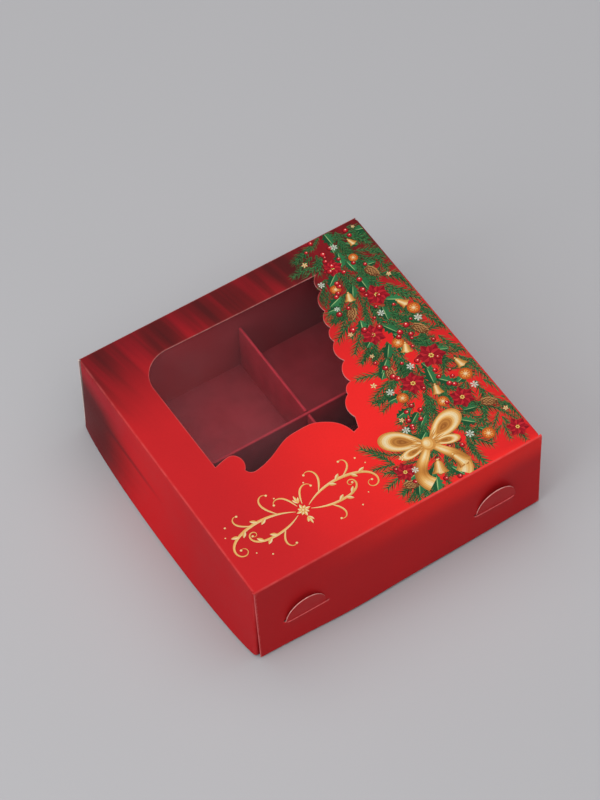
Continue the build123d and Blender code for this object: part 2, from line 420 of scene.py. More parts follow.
# The left wall has a bright fold along its crease, a dark one below it and a thin pleat
wall_plain = mix(fade(along, -0.3, 0.08), ink(190, 20, 28), ink(213, 20, 28))
drifting = calc("MULTIPLY_ADD", along, -0.19, across)
wall_share = calc("MULTIPLY_ADD", drifting, 2.5, 2.5)
wall_folds = ramp(
    red_print, wall_share, (0.04, 120, 20, 30), (0.19, 104, 18, 22), (0.46, 95, 16, 19),
    (0.66, 100, 14, 18), (0.78, 154, 16, 28), (0.86, 174, 18, 34))
wall_fold_depth = fade(calc("MULTIPLY_ADD", calc("SUBTRACT", mixed, 0.5), -0.2, along), 0.09, 0.38)
wall_colour = mix(wall_fold_depth, wall_plain, wall_folds)
from_pleat = calc("ABSOLUTE", calc("ADD", across, 0.692))
pleat = calc("MULTIPLY", fade(from_pleat, 0.016, 0.002), fade(along, -0.03, 0.2, 0.0, 0.5))
wall_colour = mix(pleat, wall_colour, ink(92, 12, 18))
on_left_wall = fade(across, -0.525, -0.54)
red_print.links.new(mix(on_left_wall, top_colour, wall_colour), result["Colour"])

# Wear and painted highlight: ink thinned by rubbing where the board is folded, its paler pink on the folds
# also a painted highlight
wear_and_highlight_tree, given, result = new_group(
    "crease wear and painted highlight", [("Colour", COLOUR), ("Wear", VALUE), ("Place", VECTOR)], [("Colour", COLOUR)])
broken = ease(wear_and_highlight_tree, noise(wear_and_highlight_tree, given["Place"], 260.0, 3.0), 0.3, 0.62, 0.45, 1.0)
wear_and_highlight_share = maths(wear_and_highlight_tree, "MULTIPLY", given["Wear"], broken, clamp=True)
wear_and_highlight_tree.links.new(blend_colours(wear_and_highlight_tree, wear_and_highlight_share, given["Colour"], ink(232, 120, 116)), result["Colour"])


def material(name, roughness=0.5, **plain_values):
    made = bpy.data.materials.new(name)
    made.use_nodes = True
    tree = made.node_tree
    shader = tree.nodes["Principled BSDF"]
    shader.inputs["Roughness"].default_value = roughness
    for label, value in plain_values.items():
        shader.inputs[label.replace("_", " ")].default_value = value
    return made, tree, shader.inputs


def object_place(tree):
    return add(tree, "ShaderNodeTexCoord").outputs["Object"]


def shaded(tree, colour, shade):
    """A colour made lighter or darker by a factor."""
    grey = add(tree, "ShaderNodeCombineColor", {0: shade, 1: shade, 2: shade}).outputs[0]
    return blend_colours(tree, 1.0, colour, grey, "MULTIPLY")


def coated(name, colour_of, roughness=0.42, tooth=0.25, gloss=0.08):
    """Board with a thin coat: colour_of places the nodes for its colour and returns their output."""
    made, tree, shader = material(name, roughness, Specular_IOR_Level=0.045)
    place = object_place(tree)
    surface = use(tree, fibre, Place=place, Tooth=tooth)
    shade = ease(tree, surface["Mottle"], 0.2, 0.8, 0.94, 1.05)
    tree.links.new(shaded(tree, colour_of(tree, place), shade), shader["Base Color"])
    uneven = ease(tree, surface["Mottle"], 0.2, 0.8, roughness - gloss, roughness + gloss)
    tree.links.new(uneven, shader["Roughness"])
    tree.links.new(surface["Normal"], shader["Normal"])
    return made


def lid_colour(tree, place):
    sheet = add(tree, "ShaderNodeUVMap", uv_map="printed sheet").outputs[0]
    wear_and_highlight_amount = add(tree, "ShaderNodeAttribute", attribute_name="wear_and_highlight").outputs["Fac"]
    colour = use(tree, red_print, Place=sheet)["Colour"]
    return use(tree, wear_and_highlight_tree, Colour=colour, Wear=wear_and_highlight_amount, Place=place)["Colour"]


def plain_colour(first, second, scale=180.0):
    def colour_of(tree, place):
        return blend_colours(tree, ease(tree, noise(tree, place, scale, 3.0), 0.3, 0.7), first, second)
    return colour_of


# The back of the well is painted lighter at the left and darker at the right: painted light falling from the
# left
def painted_light_from_left(tree, place):
    x = add(tree, "ShaderNodeSeparateXYZ", {0: place}).outputs[0]
    return blend_colours(tree, ease(tree, x, -0.035, 0.03), ink(192, 60, 68), ink(142, 46, 54))


def board_edge(name, first, second):
    return coated(name, plain_colour(first, second, 900.0), roughness=0.8, tooth=0.6)


printed = coated("printed board", lid_colour)
board_back = coated("board back", plain_colour(ink(206, 202, 196), ink(190, 185, 178)), 0.75, 0.5)
cut_edge = board_edge("cut board edge", ink(244, 186, 180), ink(220, 142, 136))
inked_edge = board_edge("inked board edge", ink(234, 116, 116), ink(208, 92, 96))
raw_edge = board_edge("raw board edge", ink(240, 222, 214), ink(222, 196, 188))
tray_print = coated("tray board", plain_colour(ink(156, 47, 56), ink(144, 42, 50)), 0.5)
# The back of the well takes painted light from the left
well_back_painted_light = coated("tray board, back of the well", painted_light_from_left, 0.5)
divider_print = coated("divider board", plain_colour(ink(176, 46, 58), ink(162, 41, 52)), 0.45)
wall_looks = [printed, board_back, cut_edge]
panel_looks = {"front": [printed, board_back, inked_edge], "back": [printed, board_back, raw_edge]}

film_look, film_tree, film_shader = material("clear film", 0.16, IOR=1.5)
film_shader["Base Color"].default_value = ink(150, 122, 128)
film_place = object_place(film_tree)
film_spot = add(film_tree, "ShaderNodeSeparateXYZ", {0: film_place})
# The film is hazier towards the left
hazier_to_the_left = ease(film_tree, film_spot.outputs[0], -0.04, 0.03, 1.5, 0.5)
haze = ease(film_tree, noise(film_tree, film_place, 45.0, 3.0), 0.3, 0.75, 0.02, 0.04)
film_tree.links.new(maths(film_tree, "MULTIPLY", haze, hazier_to_the_left), film_shader["Alpha"])
film_surface = use(film_tree, fibre, Place=film_place, Tooth=0.0)
film_tree.links.new(film_surface["Normal"], film_shader["Normal"])

# The lid's top, with its window
window = divided(face_outlines("lid_top_panel", 2, 1)[1], 1 * MM)


def lie_on_top(u, v):
    return Vector((u, v, board_top)), Vector((0, 0, 1)), (u, v), rub_beside(u, v, [window], 0.5)


edge_x, edge_y = half_width - crease_radius, half_depth - crease_radius
top_outline = [(-edge_x, -edge_y), (edge_x, -edge_y), (edge_x, edge_y), (-edge_x, edge_y)]
top_grid = spread(-50 * MM, 50 * MM, 5 * MM)
top_blank = blank(top_outline, [window], top_grid, top_grid, beside(window, rubbed_width, False))
top_panel = fold("lid_top_sheet", top_blank, lie_on_top, wall_looks)
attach(top_panel, "lid_top")
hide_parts("lid_top_panel")


# Creases from the top to each side
straight = -flap_outside - corner_fold_radius


def corner_recess(run):
    """How far a side wall has turned in where it goes round the corner into its flap."""
    past = min(max(0.0, run - straight), corner_fold_radius)
    return corner_fold_radius - (corner_fold_radius ** 2 - past ** 2) ** 0.5


def crease(name, side, body, start, end, wear_and_highlight_amount, looks, flare_at=(0.0, 0.0)):
    """The rounded crease of one side; a side wall's turns in at the corners, a panel's ends flare."""
    is_wall = body in ("lid_left", "lid_right")

    def lie(u, v):
        turn = -v / crease_radius
        reach = side.reach - crease_radius + crease_radius * sin(turn)
        # The crease's ink pales most half-way round the fold: ink thinned by rubbing and a painted highlight
        wear_and_highlight, flare = wear_and_highlight_amount * sin(2 * turn), 0.0
        if is_wall:
            reach -= corner_recess(abs(u)) * sin(turn)
        else:
            near_end = max(0.0, 1 - min(u - start, end - u) / rubbed_width)
            wear_and_highlight = max(wear_and_highlight, edge_wear * near_end * sin(turn))
            flare = flare_at[u > 0] * near_end * (1 - sin(turn))
        point = side.at(u + flare, reach, crease_end + crease_radius * cos(turn))
        normal = side.out * sin(turn) + Vector((0, 0, cos(turn)))
        return point, normal, side.printed(u, -v), wear_and_highlight

    rows = spread(-crease_run, 0.0, crease_run / 8)
    if is_wall:
        corner = [straight + share * corner_fold_radius for share in (0.0, 0.2, 0.4, 0.6, 0.75)]
        extra = corner + [-u for u in corner]
    else:
        extra = [start + rubbed_width, end - rubbed_width]
    columns = sorted(spread(start, end, 2.5 * MM) + extra)
    outline = [(start, rows[0])] + [(u, rows[0]) for u in columns[1:-1]] + [(end, v) for v in rows]
    outline += [(u, 0.0) for u in reversed(columns[1:-1])] + [(start, v) for v in reversed(rows[1:])]
    strip = fold(name, blank(outline, (), columns[1:-1], rows[1:-1]), lie, looks)
    from_top, to_wall = side.at(0, side.reach - crease_radius, board_top), side.at(0, side.reach, crease_end)
    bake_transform(strip)
    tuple(from_top)
    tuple(to_wall)


panel_edge = half_width - edge_gap
wall_run = half_depth - crease_radius
end_flares = {"front": (-crease_flare, 0.0), "back": (crease_flare, -crease_flare)}
# The creases' amounts 0.34, 0.26 and 0.2 are how pale their folds are painted: ink thinned by rubbing and a
# painted highlight
for side, end in ((front, "front"), (back, "back")):
    right_edge, body = panel_edge + overhang[end], f"lid_{end}"
    crease(f"crease_{end}", side, body, -panel_edge, right_edge, 0.34, panel_looks[end], end_flares[end])
crease("crease_left", left, "lid_left", -wall_run, wall_run, 0.26, wall_looks)
crease("crease_right", right, "lid_right", -wall_run, wall_run, 0.2, wall_looks)

# Front and back panels, with a slit for each lock
level_slits = [divided(loop, 0.8 * MM) for loop in face_outlines("lid_front_panel", 1, 0)[1:]]
slit_low, slit_high = (pick(z for loop in level_slits for _, z in loop) for pick in (min, max))
slit_inner, slit_outer = (pick(abs(x) for loop in level_slits for x, _ in loop) for pick in (min, max))
slit_level, slit_middle = (slit_low + slit_high) / 2, (slit_inner + slit_outer) / 2
slit_half = (slit_outer - slit_inner) / 2
grid_step = 2 * MM
grid_rows = spread(1 * MM, 35 * MM, grid_step)


def lock_rise(u):
    """The lock at a panel's right-hand end sits a little higher than the other."""
    return right_lock_lift if u > 0 else left_lock_lift


def lock_shift(u):
    """The slit at a panel's left-hand end sits a little further in than the other."""
    return left_slit_inward if u < 0 else 0.0


slits = [[(u + lock_shift(u), v + lock_rise(u)) for u, v in loop] for loop in level_slits]


def panel_stand(u, v):
    """How far a panel stands out of its plane: its bow, its swell between the locks, its lips."""
    drop = drop_at(v)
    stand = (end_bow + swell(u, foot_swells)) * drop ** 1.2 + swell(abs(u), waist_swells) * sin(pi * drop)
    u, v = u - lock_shift(u), v - lock_rise(u)
    hollow = hump(abs(u), slit_middle, hollow_wide) * hump(v, slit_level + hollow_rise, hollow_high)
    stand -= hollow_depth * hollow
    if v < slit_level:
        across = max(0.0, 1 - ((abs(u) - slit_middle) / slit_half) ** 12)
        stand += (lip_stand - stand) * across * np.exp((v - slit_low) / lip_height)
    return float(stand)


def folded_panel(name, side, end):
    body, node = f"lid_{end}", f"lid_{end}_panel"

    def lie(u, v):
        point = side.at(u, side.reach + panel_stand(u, v), v)
        wear_and_highlight = edge_wear * max(0.0, 1 - (edge_at(u > 0, v) - abs(u)) / rubbed_width)
        if v < slit_level + lock_rise(u):
            wear_and_highlight = max(wear_and_highlight, rub_beside(u, v, slits, 0.4))
        return point, side.out.copy(), side.printed(u, crease_run + crease_end - v), wear_and_highlight

    def edge_at(is_right, v):
        if is_right:
            return panel_edge + overhang[end] - right_edge_taper * drop_at(v)
        return panel_edge - left_edge_taper * drop_at(v)

    edge_rows = spread(wall_foot, crease_end, grid_step)[1:-1]
    foot = spread(-edge_at(False, wall_foot), edge_at(True, wall_foot), grid_step)
    outline = [(u, wall_foot + foot_rise * hump(u, foot_middle, foot_reach)) for u in foot]
    outline += [(edge_at(True, v), v) for v in edge_rows]
    outline += [(u, crease_end) for u in spread(-panel_edge, edge_at(True, crease_end), grid_step)[::-1]]
    outline += [(-edge_at(False, v), v) for v in reversed(edge_rows)]
    columns = spread(-52 * MM, 52 * MM, grid_step)
    lifts, drops = (left_lock_lift, right_lock_lift), (0.7 * MM, 1.2 * MM, 2.0 * MM)
    rows = sorted(grid_rows + [slit_low + lift - drop for lift in lifts for drop in drops])
    extra = [(way * (edge_at(way > 0, v) - rubbed_width), v) for way in (-1, 1) for v in edge_rows]
    for slit in slits:
        extra += beside(slit, rubbed_width, False)
    panel = fold(name, blank(outline, slits, columns, rows, extra), lie, panel_looks[end])
    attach(panel, body)
    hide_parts(node)


folded_panel("lid_front_sheet", front, "front")
folded_panel("lid_back_sheet", back, "back")

# Side walls, each one sheet with its two corner flaps folded round the corners
flap_outline, flap_hole = face_outlines("lid_flap_front_left", 1, 0)
turned = corner_fold_radius * pi / 2
flap_step = 2 * MM

# How far from a corner fold the flare of the wall, the flare of the flap and the bow of the flap die away
wall_flare_run, flap_flare_run, flap_bow_run = 6 * MM, 8 * MM, 20 * MM


def wall_blank():
    """The flat blank of a side wall with its two corner flaps, the same for both walls."""
    shift = straight + turned + half_width - corner_fold_radius
    ends = [(x + shift, z) for x, z in flap_outline if x > -half_width + corner_fold_radius + 1 * MM]
    hole = [(x + shift, z) for x, z in flap_hole]
    step_u = straight + turned + flap_step
    foot, head = (pick(z for _, z in flap_outline) for pick in (min, max))
    half = [(straight, wall_foot), (step_u, foot), *sorted(ends, key=lambda p: p[1])]
    half += [(step_u, head), (straight, crease_end)]
    arc = [straight + turned * i / 8 for i in range(1, 9)]
    across_flap = arc + spread(step_u, step_u + 26 * MM, 2.5 * MM)
    columns = sorted(spread(-straight, straight, grid_step) + across_flap + [-u for u in across_flap])
    other, mirrored = ([(-u, v) for u, v in loop] for loop in (half[::-1], hole))
    return blank(divided(half + other, 0.5 * MM), [hole, mirrored], columns, grid_rows)


flat_wall = wall_blank()


def folded_wall(name, side, body, replaced):
    def lie(u, v):
        way, run = (1 if u >= 0 else -1), abs(u)
        wear_and_highlight = 0.0
        drop = drop_at(v)
        bow = side_bow * (1 - (min(run, straight) / half_depth) ** 2) ** 0.5 * drop ** 1.4
        flare = side.along * way * flap_flare * drop ** 2
        if run <= straight:
            near_fold = max(0.0, (run - straight) / wall_flare_run + 1)
            point, normal = side.at(u, side.reach + bow, v) + flare * near_fold ** 2, side.out.copy()
        elif run <= straight + turned:
            turn = (run - straight) / corner_fold_radius
            normal = side.out * cos(turn) + side.along * way * sin(turn)
            middle = side.at(way * straight, side.reach + bow - corner_fold_radius, v) + flare
            # The corner fold's ink pales half-way round: a painted highlight, with ink thinned by rubbing
            point, wear_and_highlight = middle + normal * corner_fold_radius, 0.1 * sin(2 * turn)
        else:
            far = run - straight - turned
            bow *= max(0.0, 1 - far / flap_bow_run)
            point = side.at(way * -flap_outside, side.reach + bow - corner_fold_radius - far, v)
            point += flare * max(0.0, 1 - far / flap_flare_run) ** 2
            normal = side.along * way
        return point, normal, side.printed(u, crease_run + crease_end - v), wear_and_highlight

    sheet = fold(name, flat_wall, lie, wall_looks)
    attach(sheet, body)
    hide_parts(*replaced)


for hand, side in (("left", left), ("right", right)):
    replaced = f"lid_{hand}_wall", f"lid_flap_front_{hand}", f"lid_flap_back_{hand}"
    folded_wall(f"lid_{hand}_sheet", side, f"lid_{hand}", replaced)

# Half-moon tongues, bent out through the slits and up
tongue_low, tongue_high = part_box("lock_tongue_front_right")
tongue_half = (tongue_high.x - tongue_low.x) / 2 - 0.15 * MM
tongue_middle = (tongue_high.x + tongue_low.x) / 2
left_tongue_shift, right_tongue_shift = 0.1 * MM, 0.35 * MM
right_tongue_lift = 0.9 * MM
root_run, root_drop = 2.95 * MM, 2.0 * MM
tongue_lean = radians(5.7)
path_steps = 400
tongue_reach = 10.0 * MM
tongue_bend = 1.8 * MM

# How far a tongue's sides curl in at its tip and at its root, and the level and reach of the root's curl
tip_curl, root_curl, root_curl_level, root_curl_reach = 0.25 * MM, 0.6 * MM, -0.8 * MM, 1.2 * MM


def tongue_path():
    """Points from the flap out through the slit and up, with the direction at each."""
    run = np.linspace(-root_run, tongue_reach, path_steps)
    stops, angles = (-2.95, -2.65, -2.25, -1.3, -0.8, 0.0), (0.0, 0.5, 1.45, 1.45, 0.2, tongue_lean)
    out = np.interp(run / MM, stops, angles)
    step = run[1] - run[0]
    reach = -flap_outside + np.cumsum(np.sin(out)) * step
    height = tongue_low.z - root_drop + np.cumsum(np.cos(out)) * step
    return run, reach, height, out


path = tongue_path()


def tongue(name, side, way, node):
    """One tongue, from its root at the flap out through the slit and up."""
    middle = way * tongue_middle + (right_tongue_shift if way > 0 else left_tongue_shift)

    def lie(u, v):
        reach, height, turn = (float(np.interp(v, path[0], path[i])) for i in (1, 2, 3))
        height += right_tongue_lift if way > 0 else 0.0
        normal = side.out * cos(turn) - Vector((0, 0, sin(turn)))
        curl = tip_curl * (u / tongue_half) ** 2 * max(0.0, v / tongue_reach)
        curl += root_curl * (u / tongue_half) ** 6 * hump(v, root_curl_level, root_curl_reach)
        sheet_place = side.printed(u + middle, crease_run + crease_end - height)
        return side.at(u + middle, reach - curl, height), normal, sheet_place, 0.08

    arc = [radians(a) for a in range(0, 181, 5)]
    outline = [(tongue_half * cos(a), tongue_reach * sin(a)) for a in arc]
    root_rows = spread(-root_run, 0, 0.25 * MM)
    outline += [(-tongue_half, v) for v in root_rows[-2::-1]]
    outline += [(tongue_half, v) for v in root_rows[:-1]]
    columns, tip_rows = spread(-tongue_half, tongue_half, 1.2 * MM), spread(0, tongue_reach, 0.6 * MM)
    piece = fold(name, blank(outline, (), columns, root_rows[1:-1] + tip_rows), lie, wall_looks, tongue_board)
    lip_top = slit_low + lock_rise(way)
    at_lip, over_lip = (side.at(0, side.reach, lip_top + bend) for bend in (0.0, tongue_bend))
    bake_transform(piece)
    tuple(at_lip)
    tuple(over_lip)
    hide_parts(node)


for side, end in ((front, "front"), (back, "back")):
    for way in (-1, 1):
        hand = "right" if way * side.along.x > 0 else "left"
        body = f"tongue_{end}_{hand}"
        tongue(f"{body}_sheet", side, way, f"lock_{body}")


# Shapes that the print repeats, drawn flat in millimetres; each face has a tone and lies on a layer
layer_step = 0.0004
stencils = []


class Stencil:
    def __init__(self):
        self.points, self.faces, self.tones = [], [], []

    def patch(self, corners, tone, layer=0):
        """One face, turned to face up whichever way its corners are given."""
        area = sum(a[0] * b[1] - b[0] * a[1] for a, b in zip(corners, corners[1:] + corners[:1]))
        if abs(area) < 0.0004:
            return
        first = len(self.points)
        corners = corners if area > 0 else corners[::-1]
        self.points += [(x, y, layer * layer_step) for x, y in corners]
        self.faces.append(tuple(range(first, first + len(corners))))
        self.tones.append(tone)

    def leaf(self, base, angle, length, half, tones, layer=0, rows=6, spikes=0):
        """A pointed leaf or petal in two tones about its rib; spikes give it a prickly edge."""
        turn, rise = cos(angle), sin(angle)
        x, y = base
        stops = rows if not spikes else 2 * spikes + 1
        for side, tone in ((1, tones[0]), (-1, tones[1])):
            for i in range(stops):
                t0, t1 = i / stops, (i + 1) / stops
                edge = []
                for t, k in ((t0, i), (t1, i + 1)):
                    wide = half * sin(pi * min(1.0, t * 1.04)) ** 0.75 if 0 < t < 1 else 0.0
                    edge.append(wide * ((0.55, 1.0)[k % 2] if spikes else 1.0))
                quad = [(t0, 0.0), (t1, 0.0), (t1, edge[1]), (t0, edge[0])]
                quad = [q for n, q in enumerate(quad) if n < 2 or q[1] > 0]
                if len(quad) > 2:
                    laid = [(t * length, side * w) for t, w in quad]
                    corners = [(x + a * turn - w * rise, y + a * rise + w * turn) for a, w in laid]
                    self.patch(corners, tone, layer)

    def rings(self, outline, middle, tones, layer=0, shine=(0.0, 0.0)):
        """Rings of tone that close in from an outline on a point; shine moves the inner ones aside."""
        count = len(tones)
        to_x, to_y = middle[0] + shine[0], middle[1] + shine[1]
        for ring, tone in enumerate(tones):
            corners = []
            for share in (ring / count, (ring + 1) / count):
                corners.append([(x + (to_x - x) * share, y + (to_y - y) * share) for x, y in outline])
            for i in range(len(outline)):
                j = (i + 1) % len(outline)
                quad = [corners[0][i], corners[0][j], corners[1][j], corners[1][i]]
                self.patch(quad if ring + 1 < count else quad[:3], tone, layer)

    def disc(self, middle, radius, tones, layer=0, sides=20, shine=0.35, squash=1.0):
        """A round fruit or ball that closes in on a highlight."""
        turns = [2 * pi * i / sides for i in range(sides)]
        outline = [(middle[0] + radius * cos(a), middle[1] + radius * squash * sin(a)) for a in turns]
        self.rings(outline, middle, tones, layer, (-shine * radius, shine * radius))

    def ribbon(self, line, half, tones, layer=0, shade=lambda t: 1.0):
        """A band along points with headings; half gives its half width and shade its light on the way."""
        last = len(line) - 1
        for i in range(last):
            for j, tone in enumerate(tones):
                corners = []
                for k, edge in ((i, j), (i + 1, j), (i + 1, j + 1), (i, j + 1)):
                    x, y, angle = line[k]
                    off = half(k / last) * (2 * edge / len(tones) - 1)
                    corners.append((x - off * sin(angle), y + off * cos(angle)))
                self.patch(corners, tone * shade((i + 0.5) / last), layer)

    def made(self, name):
        mesh = bpy.data.meshes.new(name)
        mesh.from_pydata([tuple(c * MM for c in p) for p in self.points], [], self.faces)
        tone = mesh.attributes.new("tone", "FLOAT", "FACE")
        tone.data.foreach_set("value", np.array(self.tones, np.float32))
        work = bmesh.new()
        work.from_mesh(mesh)
        bmesh.ops.remove_doubles(work, verts=work.verts, dist=layer_step * MM / 4)
        work.to_mesh(mesh)
        work.free()
        stencils.append(linked(name, mesh))
        return stencils[-1]


def fir_sprig(pairs=15, step=0.62, needle=3.5):
    shape = Stencil()
    for i in range(pairs):
        a, b, reach = i * step, (i + 1) * step, needle * (0.5 + 0.5 * sin(pi * (i + 2) / (pairs + 3)))
        for side in (1, -1):
            lean = radians(38 + 9 * sin(i * 2.3 + side))
            tip = (b + reach * cos(lean), side * (0.1 + reach * sin(lean)))
            shape.patch([(a, side * 0.1), (b, side * 0.1), tip], 0.25 + 0.6 * ((i * 7 + side * 3) % 5) / 4)
        shape.patch([(a, -0.1), (b, -0.1), (b, 0.1), (a, 0.1)], 0.0)
    end = pairs * step
    shape.patch([(end, -0.1), (end + 2.6, 0.0), (end, 0.1)], 0.7)
    return shape.made("fir sprig")


def holly_leaf():
    shape = Stencil()
    shape.leaf((0, 0), 0, 6.4, 2.3, (0.75, 0.4), 0, spikes=4)
    shape.leaf((0, 0), 0, 6.2, 0.16, (1.0, 1.0), 1)
    return shape.made("holly leaf")


def berry():
    shape = Stencil()
    shape.disc((0, 0), 1.0, (0.05, 0.3, 0.45, 0.6, 1.0), sides=16)
    return shape.made("berry")


def star_flower(petals=6):
    shape = Stencil()
    for ring, (length, half, tones) in enumerate(((5.0, 1.55, (0.5, 0.25)), (3.9, 1.25, (0.7, 0.4)))):
        for i in range(petals):
            angle, layer = 2 * pi * (i + 0.5 * ring) / petals, petals * ring + i
            shape.leaf((0, 0), angle, length, half, tones, layer)
            shape.leaf((0, 0), angle, length * 0.9, 0.09, (0.1, 0.1), layer + 0.5)
    for i in range(6):
        shape.disc((0.62 * cos(i * pi / 3), 0.62 * sin(i * pi / 3)), 0.34, (0.92, 1.0), 13, sides=8)
    return shape.made("star flower")


def fir_cone(rows=8):
    shape = Stencil()
    for row in range(rows):
        y = 3.0 - row * 0.72
        half = 1.7 * sin(pi * (row + 1.6) / (rows + 1.4)) ** 0.8
        count = 3 if row % 2 else 4
        for i in range(count):
            x = half * (2 * (i + 0.5) / count - 1)
            shape.leaf((x, y), radians(-90 + 22 * x), 1.5, 0.6, (0.9, 0.35), 3 * row + i * 0.75, rows=4)
    return shape.made("fir cone")


def orange_slice(pieces=9):
    shape = Stencil()
    shape.disc((0, 0), 2.3, (0.35, 0.75, 0.95), 0, sides=27, shine=0.0)
    for i in range(pieces):
        middle, half = 2 * pi * i / pieces, pi / pieces * 0.8
        piece = (0.3, 0), (1.5, -half), (1.8, -half / 2), (1.85, 0), (1.8, half / 2), (1.5, half)
        corners = [(r * cos(middle + a), r * sin(middle + a)) for r, a in piece]
        shape.patch(corners, 0.55 if i % 2 else 0.45, 1)
    return shape.made("orange slice")


def winding(start, heading, length, bend, steps=60):
    """Points and headings of a line; bend gives its radians a millimetre at each share of its length."""
    line, (x, y), angle = [], start, heading
    for i in range(steps + 1):
        line.append((x, y, angle))
        angle += bend(i / steps) * length / steps
        x, y = x + cos(angle) * length / steps, y + sin(angle) * length / steps
    return line


def looped(heading, opening, length, steps=40):
    """The outline of a loop of ribbon that leaves the knot and comes back to it."""
    outline = []
    for i in range(steps + 1):
        t = i / steps
        angle, reach = heading + opening * (2 * t - 1), 0.5 + length * sin(pi * t) ** 0.55
        outline.append((reach * cos(angle), reach * sin(angle)))
    return outline


def ribbon_bow():
    shape = Stencil()
    satin = (0.3, 0.5, 0.72, 0.95, 1.0, 0.85, 0.68, 0.78, 0.5)
    loop_tones = (0.4, 0.62, 0.9, 1.0, 0.86, 0.66, 0.36, 0.22, 0.3, 0.16, 0.1, 0.2)
    for side in (1, -1):
        sway = lambda t: side * (0.12 * sin(2 * pi * t) - 0.1)
        tail = winding((side * 0.4, -0.6), radians(-90 + side * 46), 15.0, sway)
        sheen = lambda t: 0.66 + 0.34 * cos(2 * pi * (t * 1.4 - 0.35))
        shape.ribbon(tail, lambda t: 1.0 + 1.5 * t, satin, side + 1, sheen)
        for turn, opening, length, layer in ((61, 30, 14.0, 3), (100, 21, 9.0, 5)):
            heading = radians(90 - side * turn)
            focus = (0.52 * length * cos(heading), 0.52 * length * sin(heading))
            shape.rings(looped(heading, radians(opening), length), focus, loop_tones, layer)
            for lean in (-0.55, -0.3, 0.3, 0.55):
                angle, above = heading + radians(opening) * lean, layer + 0.5 + 0.3 * lean
                shape.leaf((0, 0), angle, 0.42 * length, 0.22, (0.25, 0.5), above, rows=5)
    shape.disc((0, 0), 2.1, (0.4, 0.62, 0.85, 1.0), 7, sides=14, squash=1.15)
    return shape.made("ribbon bow")


def at_share(line, share):
    return line[round(share * (len(line) - 1))]


def branch(line, share, lean, length, bend, steps=40):
    x, y, heading = at_share(line, share)
    return winding((x, y), heading + lean, length, bend, steps)


def tightening(way, base, gain, start=0.0):
    """The bend of a curl that winds up ever tighter from a share of its length."""
    return lambda t: way * (base + gain * max(0.0, t - start) ** 2)


def scroll_flourish():
    """A symmetrical scroll of curls, leaves and dots about a rosette."""
    shape = Stencil()
    dots = (23.8, 7.6, 0.34), (25.6, 4.4, 0.24), (5.4, 8.6, 0.28), (16.4, -8.4, 0.3), (20.4, -5.4, 0.24)
    for side in (1, -1):
        high = winding((side * 2.4, 0.7), radians(90 - side * 58), 35, tightening(-side, 0.045, 3.6, 0.48), 90)
        low = winding((side * 2.4, -0.7), radians(-90 + side * 60), 25, tightening(side, 0.05, 5.0, 0.45), 80)
        curls = (
            (high, 0.85),
            (low, 0.7),
            (branch(high, 0.16, side * radians(34), 12, tightening(side, 0.02, 0.75)), 0.5),
            (branch(high, 0.42, side * radians(30), 9, tightening(side, 0.05, 0.95)), 0.45),
            (branch(low, 0.25, -side * radians(34), 9, tightening(-side, 0.05, 0.9)), 0.45),
            (winding((side * 0.9, 2.2), radians(90 - side * 16), 10, tightening(-side, 0.02, 0.8)), 0.45),
        )
        for rank, (line, wide) in enumerate(curls):
            width = lambda t: 0.08 + wide * 0.5 * sin(pi * t ** 0.8) ** 1.2
            shape.ribbon(line, width, (0.75, 0.9), rank, lambda t: 1.0 - 0.25 * t)
            shape.disc(line[-1][:2], 0.4, (0.8, 0.95), 6, sides=10)
        on_high, on_low = ((0.28, -1), (0.36, 1), (0.5, -1), (0.58, 1)), ((0.38, 1), (0.46, -1), (0.56, 1))
        for line, sprouts in ((high, on_high), (low, on_low)):
            for share, way in sprouts:
                x, y, heading = at_share(line, share)
                shape.leaf((x, y), heading + way * side * radians(38), 2.6, 0.55, (0.95, 0.6), 7 + way, rows=6)
        for x, y, size in dots:
            shape.disc((side * x, y), size, (0.8, 1.0), 1, sides=10)
    for i in range(8):
        shape.leaf((0, 0), i * pi / 4, 2.5 if i % 2 == 0 else 1.9, 0.5, (1.0, 0.6), 9 + i * 0.5, rows=6)
    shape.disc((0, 0), 0.62, (0.45, 0.8, 1.0), 14, sides=14)
    for y, way in ((3.0, 1), (-2.6, -1)):
        for rank, (tilt, length) in enumerate(((-28, 2.3), (0, 3.2), (28, 2.3))):
            shape.leaf((0, y), radians(way * 90 + tilt), length, 0.42, (0.95, 0.65), 9 + rank, rows=6)
    return shape.made("scroll flourish")


def bell():
    shape = Stencil()
    shape.disc((0.1, -2.55), 0.62, (0.2, 0.6, 0.9), 0, sides=12)
    profile = ((2.2, 0.35), (1.9, 1.0), (1.2, 1.4), (0.2, 1.6), (-0.8, 1.85), (-1.6, 2.3), (-2.2, 2.75))
    shades = (0.15, 0.4, 0.75, 1.0, 0.85, 0.55, 0.4, 0.25)
    for (y0, w0), (y1, w1) in zip(profile, profile[1:]):
        for i, shade in enumerate(shades):
            s0, s1 = i / len(shades) * 2 - 1, (i + 1) / len(shades) * 2 - 1
            shape.patch([(w0 * s0, y0), (w0 * s1, y0), (w1 * s1, y1), (w1 * s0, y1)], shade, 1)
    low_y, half = profile[-1]
    for i in range(16):
        s0, s1 = i / 16 * 2 - 1, (i + 1) / 16 * 2 - 1
        corners = [(half * s, low_y) for s in (s0, s1)]
        corners += [(half * s, low_y - 0.5 * (1 - s * s) ** 0.5) for s in (s1, s0)]
        shape.patch(corners, 0.8 if 5 < i < 11 else 0.3, 2)
    shape.disc((0, 2.55), 0.55, (0.3, 0.7, 0.95), 2, sides=12)
    return shape.made("bell")


